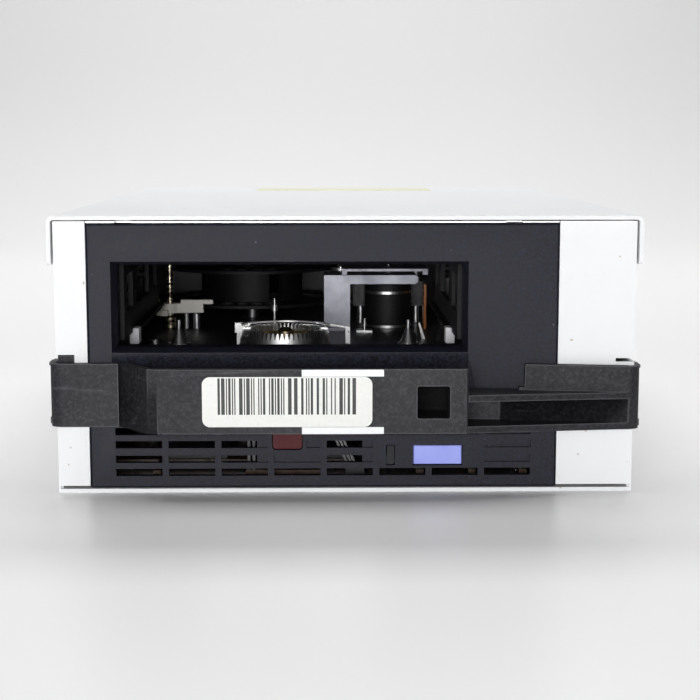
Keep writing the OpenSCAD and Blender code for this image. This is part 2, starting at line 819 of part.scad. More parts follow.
module drive_cover()
  color("silver")
    difference() {
      union() {
        block([drive_x0, drive_x1], [0.6, drive_d], [cover_z, cover_z + cover_t]);
        for (x = [drive_x0, drive_x1 - cover_t])
          block([x, x + cover_t], [bezel_rim + fit, drive_d], [cover_z - 12, cover_z + e]);
      }
      for (x = [bezel_x - 64, bezel_x + 56.6])
        block([x, x + 5], [-e, 3], [cover_z - e, cover_z + cover_t + e]);
    }

module reel_motor()
  color("dimgray")
    spindle_motor(hub, deck_z + 2.7);

module takeup_motor()
  color("dimgray")
    spindle_motor(reel, roller_z - 1);

// Bright leads that slope down to the socket and stand beside the display.
module header_pins()
  color("silver")
    facing(socket_x, board_z + board_t, [11.5, 12.3]) {
      for (i = [0:2])
        translate([1.2 * i, 0.4])
          polygon([[0.9, 0], [1.7, 0], [-2.7, 9.1], [-3.5, 9.1]]);
      for (x = [-31.4, -29.8])
        translate([x, 0])
          square([0.9, 9.5]);
    }

// A flat brushless motor hung under the deck, with its spindle standing up through it.
module spindle_motor(p, top)
  at(p[0], p[1], 0) {
    translate([0, 0, motor_z])
      cylinder(r = motor_r, h = 11);
    translate([0, 0, motor_z + 11 - e])
      cylinder(r1 = motor_r - 2, r2 = motor_r - 5, h = 3.5);
    translate([0, 0, motor_z + 14])
      ring(14, spindle_r + 1, 3.5);
    translate([0, 0, motor_z - 1.5])
      cylinder(r = 9, h = 1.5 + e);
    translate([0, 0, motor_z + 10])
      cylinder(r = spindle_r - 1, h = top - motor_z - 10);
  }

// The clutch: a tapered crown of pointed face teeth that bites into the cartridge's hub.
module reel_clutch()
  color("silver")
    at(hub[0], hub[1], 0)
      difference() {
        union() {
          translate([0, 0, deck_z + 0.6])
            cylinder(r1 = clutch_r + 0.6, r2 = clutch_r - 1, h = clutch_top - deck_z - 0.6);
          translate([0, 0, deck_z - 1.2])
            cylinder(r = clutch_r - 2, h = 2);
        }
        translate([0, 0, deck_z + 3])
          cylinder(r = clutch_in, h = 20);
        cylinder(r = spindle_r - 1 + 0.05, h = 60);
        for (i = [0:clutch_teeth - 1])
          rotate([0, 0, 360 / clutch_teeth * i])
            translate([clutch_in - 1, 0, clutch_top])
              rotate([90, 0, 90])
                linear_extrude(clutch_r - clutch_in + 3)
                  polygon([[-tooth_gap, e], [tooth_gap, e], [0, -tooth_deep]]);
      }

module clutch_core()
  color("goldenrod")
    at(hub[0], hub[1], deck_z + 3) {
      difference() {
        cylinder(r = clutch_in - 1.1, h = 2.2);
        translate([0, 0, 1])
          cylinder(r = clutch_in - 2.9, h = 3);
      }
      cylinder(r = 3, h = 3.4);
      translate([0, 0, 3.4 - e])
        cylinder(r1 = 3, r2 = 1.6, h = 1.2);
    }

// The steel plate that frees the hub's brake, bent round the back of the clutch.
module release_plate()
  color("gray") {
    plate_z = clutch_top + 0.2;
    plate_t = 0.6;
    at(hub[0], hub[1], plate_z)
      difference() {
        ring(clutch_r + 2, clutch_r + 0.8, plate_t);
        translate([-30, -60, -1])
          cube([60, 66, 3]);
      }
    block([hub[0] - 18.6, hub[0] - 13.2], [hub[1] + 9.8, hub[1] + 13.4],
      [plate_z - 3, plate_z + plate_t]);
    block([hub[0] - 18, hub[0] - 16], [hub[1] + 10.4, hub[1] + 12.8], [deck_z, plate_z - 3 + e]);
    facing(hub[0], plate_z, [hub[1] + 12.4, hub[1] + 14.4])
      polygon([[11, plate_t], [11, 0], [23.3, -1.9], [23.3, -1.3]]);
    block([hub[0] + 21.6, hub[0] + 23.3], [hub[1] + 12.4, hub[1] + 14.4], [deck_z, plate_z - 1.5]);
  }

// Stepped pins that enter two holes in the cartridge and set its height.
module locating_pins()
  color("silver")
    for (s = [-1, 1])
      at(slot_x - 0.5 + s * 41.5, 80, deck_z) {
        cylinder(r = 4, h = 1.2);
        translate([0, 0, 1.2 - e])
          cylinder(r1 = 3, r2 = 0.9, h = 5);
        cylinder(r = 0.7, h = 9.4);
      }

module takeup_reel()
  color([0.16, 0.16, 0.17])
    at(reel[0], reel[1], roller_z - 0.5)
      difference() {
        union() {
          for (z = [0, 13.8])
            translate([0, 0, z])
              cylinder(r = reel_r, h = 1.2);
          cylinder(r = reel_hub_r, h = 15);
          translate([0, 0, -3])
            cylinder(r = 10, h = 3 + e);
        }
        translate([0, 0, -4])
          cylinder(r = spindle_r - 1 + 0.05, h = 10);
        for (i = [0:2])
          rotate([0, 0, 120 * i + 30])
            for (a = [-18:12:18])
              rotate([0, 0, a])
                translate([mid(reel_r, reel_hub_r), 0, -1])
                  cylinder(r = (reel_r - reel_hub_r) / 2 - 2.5, h = 20);
        translate([0, 0, 4])
          ring(reel_hub_r - 3, 9, 12);
        rotate([0, 0, -60])
          translate([reel_hub_r - 6, -3, 2])
            cube([8, 6, 12]);
      }

module guide_roller(i)
  color("silver")
    at(roller[i][0], roller[i][1], roller_z)
      difference() {
        union() {
          cylinder(r = roller_r - 0.8, h = roller_h);
          for (z = [0, roller_h - 1])
            translate([0, 0, z])
              cylinder(r = roller_r, h = 1);
        }
        translate([0, 0, -e])
          cylinder(r = post_r + 0.05, h = roller_h + 2 * e);
      }

module guide_roller_1() guide_roller(0);
module guide_roller_2() guide_roller(1);
module guide_roller_3() guide_roller(2);

module roller_posts()
  color("silver")
    for (p = roller)
      at(p[0], p[1], deck_z) {
        cylinder(r = 3, h = roller_z - deck_z - 0.2);
        cylinder(r = post_r, h = roller_z - deck_z + roller_h + 0.4);
      }

// The bracket stands in front of the head and carries the tops of its guide rods.
module head_bracket()
  color([0.56, 0.56, 0.58])
    difference() {
      union() {
        block([bracket_x, bracket_x + bracket_w], [bracket_d, bracket_d + 2], [deck_z, bracket_z]);
        block([bracket_x, bracket_x + bracket_w], [bracket_d, bracket_d + 9],
          [deck_z, deck_z + 1.5]);
        block([bracket_x + 1.8, bracket_x + 7.8], [bracket_d - 5, bracket_d + e],
          [deck_z, deck_z + 1]);
        facing(bracket_x, bracket_z - 3.5, [bracket_d, bracket_d + 19])
          polygon([[0, 0], [35.9, 0], [36.9, 1], [36.9, 2.7], [36.1, 3.5], [0, 3.5]]);
        for (x = [bracket_x + 7, rod_x[1] + 1.5])
          block([x, x + 2], [bracket_d + 2, bracket_d + 5], [bracket_z - e, rod_top + 1]);
        block([bracket_x + 7, rod_x[1] + 3.5], [bracket_d + 2, rod_d + 4], [rod_top, rod_top + 1]);
      }
      for (x = concat(rod_x, [screw_x]))
        at(x, rod_d, rod_top - e)
          cylinder(r = 1.25, h = 1 + 2 * e);
      at(coil_x, coil_d, bracket_z - 5)
        cylinder(r = 2, h = 8);
    }

module head_rods()
  color("silver")
    for (x = rod_x)
      at(x, rod_d, deck_z) {
        cylinder(r = rod_r, h = rod_top - deck_z);
        cylinder(r = 1.2, h = rod_top - deck_z + 1);
      }

module head_carriage()
  color([0.3, 0.3, 0.32])
    difference() {
      block([rod_x[0] - 3, rod_x[1] + 3], [rod_d - 2.8, rod_d + 2.8], [head_z - 5, head_z + 5]);
      for (x = rod_x)
        at(x, rod_d, head_z - 6)
          cylinder(r = rod_r + 0.05, h = 12);
      at(screw_x, rod_d, head_z - 6)
        cylinder(r = 1.25, h = 12);
    }

module tape_head()
  color([0.5, 0.5, 0.52])
    difference() {
      block([screw_x - 6.5, screw_x + 6.5], [rod_d + 2.8, rod_d + 6.9], [head_z - 6.5, head_z + 6.5]);
      for (x = [-3.6, 2.4])
        block([screw_x + x, screw_x + x + 1.2], [rod_d + 5.8, rod_d + 7.5],
          [head_z - 7, head_z + 7]);
    }

module head_screw()
  color("silver")
    at(screw_x, rod_d, 0) {
      translate([0, 0, deck_low - 2])
        cylinder(r = 1.2, h = rod_top + 1.6 - deck_low + 2);
    }

module head_motor()
  color("dimgray")
    at(screw_x, rod_d, 0)
      difference() {
        union() {
          translate([0, 0, deck_low - 13])
            cylinder(r = 8, h = 12);
          translate([0, 0, deck_low - 1 - e])
            cylinder(r = 3, h = 1 + e);
        }
        translate([0, 0, deck_low - 3])
          cylinder(r = 1.25, h = 4);
      }

module voice_coil()
  color([0.1, 0.1, 0.11])
    at(coil_x, coil_d, deck_z)
      difference() {
        union() {
          cylinder(r = coil_r, h = coil_h);
          translate([0, 0, coil_h - e])
            cylinder(r = 3, h = bracket_z - 3.5 - deck_z - coil_h + e);
        }
        for (z = coil_ring_z())
          translate([0, 0, z])
            ring(coil_r + 1, coil_r - 0.6, 1);
      }

function coil_ring_z() = [0.2, 13.6];

module coil_rings()
  color([0.72, 0.68, 0.55])
    at(coil_x, coil_d, deck_z)
      for (z = coil_ring_z())
        translate([0, 0, z])
          ring(coil_r + 0.2, coil_r - 0.6, 1);

// The tray is a saddle over the cartridge, with ledges that carry its two lower edges.
module cartridge_tray()
  color([0.16, 0.16, 0.17]) {
    for (s = [-1, 1])
      mirror_about(slot_x, s) {
        difference() {
          block([-rail_out, -rail_in], [tunnel_d + 6, saddle_back], [ledge_z - ledge_t, roof_z]);
          for (d = saddle_windows())
            block([-rail_out - e, -rail_in + e], d, [ledge_z + 7, roof_z - 5]);
        }
        block([-rail_in - e, -cart_w / 2 + 1.6], [tip_d()[1], saddle_back],
          [ledge_z - ledge_t, ledge_z]);
        for (d = pin_d)
          at(-rail_out - (track_in + 1.2 - rail_out), d, pin_z)
            rotate([0, 90, 0])
              cylinder(r = pin_r, h = track_in + 1.2 - rail_out + e);
      }
    difference() {
      block([slot_x - rail_out, slot_x + rail_out], [tunnel_d + 6, load_stop + cart_d + 1.6],
        [roof_z - e, roof_z + 1.2]);
      block([slot_x - 34, slot_x + 34], [40, 100], [roof_z - 1, roof_z + 2]);
    }
    for (s = [-1, 1])
      block([slot_x + s * 40 - 6, slot_x + s * 40 + 6],
        [load_stop + cart_d + 0.4, load_stop + cart_d + 1.6], [roof_z - 6, roof_z]);
  }

function tip_d() = [36, 42];
function saddle_windows() = [[tunnel_d + 13.6, pin_d[0] - 5.5], [pin_d[0] + 6, pin_d[1] - 6],
  [pin_d[1] + 6, saddle_back - 6]];

module mirror_about(x, s)
  translate([x, 0, 0])
    mirror([s > 0 ? 1 : 0, 0, 0])
      children();

// The pale tips where a cartridge first meets the tray's ledges.
module tray_tips()
  color("white")
    for (s = [-1, 1])
      mirror_about(slot_x, s)
        difference() {
          block([-rail_in - 1.1, -cart_w / 2 + 1.6], tip_d(), [ledge_z - 5.4, ledge_z]);
          block([-rail_out - e, -rail_in], [tip_d()[0] - e, tip_d()[1] + e],
            [ledge_z - ledge_t, ledge_z + e]);
        }

// The cam slide: its sloping slots lower the tray's pins as it moves back.
module cam_slide()
  color([0.62, 0.62, 0.64])
    difference() {
      union() {
        for (s = [-1, 1])
          mirror_about(slot_x, s)
            block([-cam_out, -cam_in], [14, 100], [pin_z - drop - 5, link_z]);
        block([slot_x - cam_out, slot_x + cam_out], [56, 100], [link_z - e, link_z + link_t]);
        block([slot_x + cam_out - e, rack_x - 2], [gear_d - cam_travel - 8, 100],
          [link_z - e, link_z + link_t]);
        rack();
      }
      for (s = [-1, 1], d = pin_d)
        mirror_about(slot_x, s)
          cam_slot(d);
      block([slot_x - 40, slot_x + 40], [64, 92], [link_z - 1, link_z + link_t + 1]);
    }

module cam_slot(d) {
  r = pin_r + pin_play;
  lean = atan2(drop, cam_travel);
  run = norm([drop, cam_travel]);
  at(-cam_out - 1, d, pin_z)
    rotate([lean, 0, 0]) {
      rotate([0, 90, 0])
        cylinder(r = r, h = cam_t + 2);
      translate([0, -run, 0])
        rotate([0, 90, 0])
          cylinder(r = r, h = cam_t + 2);
      translate([0, -run, -r])
        cube([cam_t + 2, run, 2 * r]);
    }
}

// Straight teeth along the link's edge; a gap faces the gear's axis at rest.
module rack() {
  pitch = PI * rack_m;
  first = -floor((cam_travel + 8) / pitch);
  last = floor((100 - gear_d) / pitch) - 1;
  at(rack_x, gear_d, link_z)
    linear_extrude(link_t)
      for (i = [first:last])
        translate([0, pitch * (i + 0.5)])
          polygon([[-2.1 * rack_m, -0.42 * pitch], [-1.2 * rack_m, -0.37 * pitch],
            [0.85 * rack_m, -0.13 * pitch], [0.85 * rack_m, 0.13 * pitch],
            [-1.2 * rack_m, 0.37 * pitch], [-2.1 * rack_m, 0.42 * pitch]]);
}

module loader_gear()
  color("ivory")
    at(gear_x, gear_d, 0)
      difference() {
        union() {
          translate([0, 0, link_z - 0.4])
            linear_extrude(link_t + 0.8)
              polygon(tooth_ring(gear_n, rack_m, 180));
          translate([0, 0, roof_z + 0.3])
            linear_extrude(2)
              polygon(tooth_ring(wheel_n, train_m, 90 - 180 / wheel_n));
          translate([0, 0, roof_z + 0.3])
            cylinder(r = 4, h = link_z - roof_z);
        }
        translate([0, 0, roof_z])
          cylinder(r = post_r + 0.05, h = 12);
      }

module loader_pinion()
  color("goldenrod")
    at(gear_x, loader_d, roof_z + 0.3)
      difference() {
        linear_extrude(2)
          polygon(tooth_ring(drive_n, train_m, -90));
        translate([0, 0, -e])
          cylinder(r = 1.05, h = 3);
      }

module loader_motor()
  color("silver")
    at(gear_x, loader_d, deck_z) {
      cylinder(r = 7.5, h = roof_z - deck_z - 2);
      cylinder(r = 3, h = roof_z - deck_z - 0.4);
      cylinder(r = 1, h = roof_z - deck_z + 2.6);
    }

// The lever swings on a brass pin to catch the leader pin of the tape.
module gripper_lever()
  color([0.62, 0.58, 0.5])
    at(lever_x, lever_d, lever_z)
      difference() {
        union() {
          cylinder(r = 3.6, h = 3.6);
          translate([0, -2.2, 0])
            cube([13.2, 4.4, 3.6]);
          translate([4.4, -2.8, 3.6 - e])
            cube([12.6, 3.4, 1.6]);
          rotate([0, 0, 150])
            rotate_extrude(angle = 115)
              translate([3.3, -0.9])
                square([2.6, 2.2]);
          rotate([0, 0, 158])
            rotate_extrude(angle = 50)
              translate([4.4, 0.4])
                square([1.2, 4.4]);
        }
        translate([0, 0, -5])
          cylinder(r = 1.25, h = 14);
        translate([8.6, -0.8, 1])
          cube([3, 1.6, 5]);
      }

module gripper_pin()
  color("goldenrod")
    at(lever_x, lever_d, deck_z) {
      cylinder(r = 2.4, h = lever_z - deck_z - 1.9);
      cylinder(r = 1.2, h = roof_z - deck_z - 2);
    }

// Screws, posts and a stud that stand on the deck round the cartridge and the tape's path.
module deck_fittings()
  color("silver") {
    at(slot_x - 51.4, load_stop + 64, deck_z) {
      cylinder(r = 2, h = 1.8);
      translate([0, 0, 1.8 - e])
        cylinder(r1 = 1.6, r2 = 0.9, h = 0.6);
    }
    at(bracket_x + 0.4, bracket_d - 3, deck_z)
      cylinder(r = 1.4, h = 2.8);
    at(lever_x + 6.3, lever_d + 1, deck_z)
      cylinder(r = 0.9, h = lever_z - deck_z - 0.6);
    at(lever_x + 10.3, lever_d + 1, deck_z)
      cylinder(r = 1.4, h = lever_z - deck_z - 0.6);
    at(slot_x - 9, bracket_d + 3, deck_z) {
      cylinder(r = 0.6, h = 12);
      translate([0, 0, 7])
        cylinder(r = 1.3, h = 2.4);
    }
  }

// Sprung steel levers that feel for a loaded cartridge.
module sensor_levers()
  color("silver") {
    block([slot_x + 23, slot_x + 29], [load_stop + 95, load_stop + 101], [deck_z, deck_z + 0.8]);
    at(slot_x + 26.2, load_stop + 98, deck_z) {
      cylinder(r = 0.6, h = 5.2);
      translate([0, 0, 2])
        cylinder(r = 1, h = 1.6);
    }
    facing(slot_x + 45.8, deck_z, [load_stop + 76, load_stop + 80])
      polygon([[0, 5.8], [0.6, 6], [2.6, 0], [1.4, 0]]);
  }

// A flexible circuit that rises beside the head.
module flex_strip()
  color([0.5, 0.24, 0.1])
    block([rod_x[1] + 1.9, rod_x[1] + 2.9], [bracket_d + 1, bracket_d + 11],
      [deck_z, deck_z + 17.5]);

module fan_frame()
  color([0.12, 0.12, 0.13])
    difference() {
      union() {
        difference() {
          facing(fan_x, fan_z, [inner_back - fan_deep, inner_back])
            round_rect(fan_side, fan_side, 2.5);
          at(fan_x, inner_back - fan_deep - e, fan_z)
            rotate([-90, 0, 0])
              cylinder(r = fan_side / 2 - 1.2, h = fan_deep + 2 * e);
        }
        for (a = [45:90:315])
          at(fan_x, inner_back - 2, fan_z)
            rotate([0, a, 0])
              translate([-1, 0, 0])
                cube([2, 2, fan_side / 2 - 0.5]);
        at(fan_x, inner_back - 3, fan_z)
          rotate([-90, 0, 0])
            cylinder(r = 10, h = 3);
        at(fan_x, inner_back - fan_deep + 4, fan_z)
          rotate([-90, 0, 0])
            cylinder(r = 1.5, h = fan_deep - 4);
      }
      for (i = [-1, 1], j = [-1, 1])
        at(fan_x + i * 16, inner_back - fan_deep - e, fan_z + j * 16)
          rotate([-90, 0, 0])
            cylinder(r = 1.6, h = fan_deep + 2 * e);
    }

module fan_rotor()
  color([0.16, 0.16, 0.17])
    at(fan_x, inner_back - 3.3, fan_z)
      rotate([90, 0, 0])
        difference() {
          union() {
            cylinder(r = 10.5, h = fan_deep - 5);
            intersection() {
              translate([0, 0, 0.6])
                cylinder(r = fan_side / 2 - 2.2, h = fan_deep - 6.5);
              for (i = [0:6])
                rotate([0, 0, 360 / 7 * i])
                  translate([fan_side / 4 + 4, 0, fan_deep / 2 - 2.5])
                    rotate([48, 0, 0])
                      cube([fan_side / 2 - 8, 16, 1.2], center = true);
            }
          }
          translate([0, 0, -e])
            cylinder(r = 1.55, h = fan_deep - 4);
        }

module interface_board()
  color([0.1, 0.3, 0.16])
    block([-wall_x + 6, wall_x - 6], [drive_d + 3, inner_back - 0.3],
      [sheet + 4, sheet + 4 + board_t]);

module transceiver_cages()
  color("silver")
    for (x = cage_x())
      difference() {
        block([x - 7, x + 7], [inner_back - 26, tray_d + 1.5], [cage_z(), cage_z() + 10]);
        block([x - 6.4, x + 6.4], [inner_back - 24, tray_d + 2], [cage_z() + 0.6, cage_z() + 9.4]);
      }

module service_jack()
  color("silver")
    difference() {
      block([jack_x() - 8, jack_x() + 8], [inner_back - 15, tray_d + 0.8],
        [cage_z(), cage_z() + 13.5]);
      block([jack_x() - 6, jack_x() + 6], [inner_back - 11, tray_d + 1],
        [cage_z() + 2, cage_z() + 9]);
      block([jack_x() - 3, jack_x() + 3], [inner_back - 11, tray_d + 1],
        [cage_z() + 9 - e, cage_z() + 11.4]);
    }

module power_connector()
  color([0.12, 0.12, 0.13])
    difference() {
      block([power_x() - 21, power_x() + 21], [inner_back - 14, tray_d + 4],
        [cage_z(), cage_z() + 10]);
      for (i = [-3:3])
        block([power_x() + 5.4 * i - 1.2, power_x() + 5.4 * i + 1.2],
          [inner_back - 8, tray_d + 5], [cage_z() + 2, cage_z() + 8]);
    }

tray_chassis();
tray_lid();
lid_screws();
rear_panel();
pull_handle();
thumbscrew_left();
thumbscrew_right();
target_bar();
barcode_label();
target_strips();
drive_bezel();
unload_button();
unload_switch();
status_lens();
display_window();
display_module();
front_board();
drive_frame();
drive_cover();
drive_pan();
main_board();
board_parts();
reel_motor();
reel_clutch();
clutch_core();
release_plate();
locating_pins();
takeup_motor();
takeup_reel();
guide_roller_1();
guide_roller_2();
guide_roller_3();
roller_posts();
head_bracket();
head_rods();
head_carriage();
tape_head();
head_screw();
head_motor();
voice_coil();
coil_rings();
cartridge_tray();
tray_tips();
cam_slide();
loader_gear();
loader_pinion();
loader_motor();
gripper_lever();
gripper_pin();
fan_frame();
fan_rotor();
interface_board();
transceiver_cages();
service_jack();
power_connector();
deck_fittings();
sensor_levers();
header_pins();
flex_strip();
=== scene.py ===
# %% [markdown]
# # A library tape drive, dressed for its portrait
# The drive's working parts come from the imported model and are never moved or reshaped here. The
# script gives each of them its finish, adds the small things that a maker prints, cuts or sticks on,
# and sets up the pale studio in which the drive was photographed.

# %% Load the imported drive
import json
import math
import random

import bpy
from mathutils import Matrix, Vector

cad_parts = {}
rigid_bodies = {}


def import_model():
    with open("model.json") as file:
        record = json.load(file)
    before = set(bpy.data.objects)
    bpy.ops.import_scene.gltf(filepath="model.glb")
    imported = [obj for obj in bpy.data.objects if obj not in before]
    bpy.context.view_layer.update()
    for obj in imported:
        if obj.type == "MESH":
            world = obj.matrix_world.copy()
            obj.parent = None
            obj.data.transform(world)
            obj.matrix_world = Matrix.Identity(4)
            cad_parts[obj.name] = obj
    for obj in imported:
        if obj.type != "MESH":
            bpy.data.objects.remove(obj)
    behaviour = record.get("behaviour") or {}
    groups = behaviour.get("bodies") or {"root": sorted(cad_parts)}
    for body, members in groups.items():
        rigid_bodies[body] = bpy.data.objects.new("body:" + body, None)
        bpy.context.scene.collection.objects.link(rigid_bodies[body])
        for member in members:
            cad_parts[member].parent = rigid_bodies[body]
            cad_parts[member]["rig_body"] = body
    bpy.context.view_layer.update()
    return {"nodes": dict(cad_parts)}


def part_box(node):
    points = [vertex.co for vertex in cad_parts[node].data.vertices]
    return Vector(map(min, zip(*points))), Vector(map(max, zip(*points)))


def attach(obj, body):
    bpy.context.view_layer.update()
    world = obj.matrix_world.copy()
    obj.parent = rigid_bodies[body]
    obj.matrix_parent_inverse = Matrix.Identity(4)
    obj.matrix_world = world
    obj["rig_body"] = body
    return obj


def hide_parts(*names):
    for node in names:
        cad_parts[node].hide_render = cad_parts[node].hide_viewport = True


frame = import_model()
nodes = frame["nodes"]

# %% [markdown]
# Everything is in metres, so the drive's lengths are written in millimetres times `mm`. The places
# that matter are read from the frame: the bezel's front plane, the lid's top and the label's box.

# %% Read the places that the details sit on
mm = 0.001
front_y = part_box("drive_bezel")[0].y
lid_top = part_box("tray_lid")[1].z
label_low, label_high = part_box("barcode_label")
print("front plane at y =", round(front_y / mm, 1), "mm")

# %% [markdown]
# ## The camera
# A long lens looks slightly down and almost straight at the front. Its place was worked out from the
# way the lid's side edges draw together towards the back. A shorter lens close by would draw them
# together too fast, and an orthographic camera would keep them parallel.

# %% Set up the camera
camera_left = 6.4 * mm
camera_distance = 474 * mm
camera_height = 111.5 * mm
look_down = math.radians(7.98)
look_right = math.radians(0.93)
camera_data = bpy.data.cameras.new("portrait_camera")
camera_data.sensor_width = 36
camera_data.lens = 79.2
camera = bpy.data.objects.new("portrait_camera", camera_data)
camera.location = (-camera_left, front_y - camera_distance, camera_height)
camera.rotation_euler = (math.pi / 2 - look_down, 0, -look_right)
bpy.context.scene.collection.objects.link(camera)
bpy.context.scene.camera = camera
print("camera stands", round(camera_distance / mm), "mm in front of the drive")

# %% [markdown]
# ## Helpers for shaping
# Operators act on whatever is selected. These few helpers select one object alone, pick faces or
# edges of it by a rule, and fix an object's place into its mesh so that its patterns lie still.

# %% Select, open and close an object
def select_only(piece):
    bpy.ops.object.select_all(action="DESELECT")
    piece.select_set(True)
    bpy.context.view_layer.objects.active = piece


def fix_place(piece):
    select_only(piece)
    bpy.ops.object.transform_apply(location=True, rotation=True, scale=True)


def open_mesh(piece, mode="FACE"):
    select_only(piece)
    bpy.ops.object.mode_set(mode="EDIT")
    bpy.ops.mesh.select_mode(type=mode)
    bpy.ops.mesh.select_all(action="DESELECT")


def close_mesh():
    bpy.ops.object.mode_set(mode="OBJECT")


# %% Pick parts of a mesh by place
def pick_faces(piece, rule):
    close_mesh()
    for face in piece.data.polygons:
        face.select = rule(face.center, face.normal)
    bpy.ops.object.mode_set(mode="EDIT")


def pick_edges(piece, rule):
    close_mesh()
    points = piece.data.vertices
    for edge in piece.data.edges:
        edge.select = rule(points[edge.vertices[0]].co, points[edge.vertices[1]].co)
    bpy.ops.object.mode_set(mode="EDIT")


# %% Apply a modifier
def apply_modifier(piece, kind, **values):
    select_only(piece)
    modifier = piece.modifiers.new(kind.lower(), kind)
    for key, value in values.items():
        setattr(modifier, key, value)
    bpy.ops.object.modifier_apply(modifier=modifier.name)


def smooth(piece, angle=35):
    select_only(piece)
    bpy.ops.object.shade_smooth_by_angle(angle=math.radians(angle))


def block(name, low, high):
    """A box between two corners, ready to be shaped."""
    low = Vector(low)
    high = Vector(high)
    bpy.ops.mesh.primitive_cube_add(size=1, location=(low + high) / 2)
    piece = bpy.context.active_object
    piece.name = name
    piece.scale = high - low
    fix_place(piece)
    return piece


def joined(name, parts):
    bpy.ops.object.select_all(action="DESELECT")
    for part in parts:
        part.select_set(True)
    bpy.context.view_layer.objects.active = parts[0]
    bpy.ops.object.join()
    piece = bpy.context.active_object
    piece.name = name
    return piece


# %% [markdown]
# ## Helpers for finishes
# A finish is a small network of nodes on Object coordinates. Three things are in nearly all of them:
# tones that drift a little, a roughness that drifts with them, and a fine relief. The sizes are given
# in millimetres, because a grain of the wrong size makes a thing look like a toy.

# %% Start a finish
def start_finish(name, metallic=0.0):
    material = bpy.data.materials.new(name)
    material.use_nodes = True
    shader = material.node_tree.nodes["Principled BSDF"]
    shader.inputs["Metallic"].default_value = metallic
    return material, material.node_tree, shader


def lumps(tree, size_mm, detail=2.0, stretch=(1, 1, 1), rough=0.5):
    """Noise whose lumps are about this size, drawn out along the axes with a small stretch."""
    place = tree.nodes.new("ShaderNodeTexCoord")
    mapping = tree.nodes.new("ShaderNodeMapping")
    mapping.inputs["Scale"].default_value = stretch
    noise = tree.nodes.new("ShaderNodeTexNoise")
    noise.inputs["Scale"].default_value = 1 / (size_mm * mm)
    noise.inputs["Detail"].default_value = detail
    noise.inputs["Roughness"].default_value = rough
    tree.links.new(place.outputs["Object"], mapping.inputs["Vector"])
    tree.links.new(mapping.outputs["Vector"], noise.inputs["Vector"])
    return noise.outputs["Fac"]


# %% Turn noise into tones, roughness and relief
def tones(tree, factor, *stops):
    ramp = tree.nodes.new("ShaderNodeValToRGB")
    for index, (place, colour) in enumerate(stops):
        stop = ramp.color_ramp.elements[index] if index < 2 else ramp.color_ramp.elements.new(place)
        stop.position = place
        stop.color = (*colour, 1)
    tree.links.new(factor, ramp.inputs["Fac"])
    return ramp.outputs["Color"]


def ranged(tree, factor, low, high, start=0.3, end=0.7):
    scale = tree.nodes.new("ShaderNodeMapRange")
    for key, value in (("From Min", start), ("From Max", end), ("To Min", low), ("To Max", high)):
        scale.inputs[key].default_value = value
    tree.links.new(factor, scale.inputs["Value"])
    return scale.outputs["Result"]


def relief(tree, shader, height, depth_mm, strength=0.5):
    bump = tree.nodes.new("ShaderNodeBump")
    bump.inputs["Strength"].default_value = strength
    bump.inputs["Distance"].default_value = depth_mm * mm
    tree.links.new(height, bump.inputs["Height"])
    tree.links.new(bump.outputs["Normal"], shader.inputs["Normal"])


def mixed(tree, factor, pattern, fixed_colour):
    """A patterned colour that turns into a fixed one as the factor goes from 0 to 1."""
    mix = tree.nodes.new("ShaderNodeMix")
    mix.data_type = "RGBA"
    mix.inputs["B"].default_value = (*fixed_colour, 1)
    tree.links.new(factor, mix.inputs["Factor"])
    tree.links.new(pattern, mix.inputs["A"])
    return mix.outputs["Result"]


def surface(tree, shader, colour, roughness, gloss=0.5):
    """Join a colour and a roughness to the shader; a low gloss dulls the mirror part of the skin."""
    tree.links.new(colour, shader.inputs["Base Color"])
    tree.links.new(roughness, shader.inputs["Roughness"])
    shader.inputs["Specular IOR Level"].default_value = gloss


# %% Find the edges: rubbed by hands and tools, and paler as a painted highlight
least_turn = 0.02
full_turn = 0.2


def worn_and_highlit_edges(tree, reach_mm, amount):
    """0 on a flat and `amount` at an edge, from how far a rounded normal turns from the true one."""
    rounded = tree.nodes.new("ShaderNodeBevel")
    rounded.samples = 4
    rounded.inputs["Radius"].default_value = reach_mm * mm
    true = tree.nodes.new("ShaderNodeNewGeometry")
    dot = tree.nodes.new("ShaderNodeVectorMath")
    dot.operation = "DOT_PRODUCT"
    tree.links.new(rounded.outputs["Normal"], dot.inputs[0])
    tree.links.new(true.outputs["Normal"], dot.inputs[1])
    edge = ranged(tree, dot.outputs["Value"], 1, 0, 1 - full_turn, 1 - least_turn)
    return ranged(tree, edge, 0, amount, 0, 1)


# %% [markdown]
# ## Painted and moulded finishes
# The tray is powder-coated: the powder melts into a skin with a faint orange peel, and handling
# leaves grey scuffs and a few brown specks. The drive's bezel is moulded in a spark-eroded cavity,
# which leaves a fine grain; its sparkle is painted in as pale specks, which are painted glints. The
# cross bar comes from a smoother cavity; its paler edges are partly wear and partly painted
# highlight.

# %% White powder coat
def powder_coat():
    material, tree, shader = start_finish("white_powder_coat")
    cloud = lumps(tree, 38, 3)
    colour = tones(tree, cloud, (0.3, (0.83, 0.84, 0.855)), (0.7, (0.865, 0.87, 0.88)))
    scuff = ranged(tree, lumps(tree, 7, 5, (1, 1, 0.35), 0.6), 0, 0.35, 0.63, 0.72)
    colour = mixed(tree, scuff, colour, (0.74, 0.74, 0.74))
    speck = ranged(tree, lumps(tree, 2.6, 1), 0, 0.75, 0.77, 0.8)
    colour = mixed(tree, speck, colour, (0.42, 0.35, 0.27))
    surface(tree, shader, colour, ranged(tree, cloud, 0.4, 0.52), 0.25)
    relief(tree, shader, lumps(tree, 0.7, 2), 0.035)
    return material


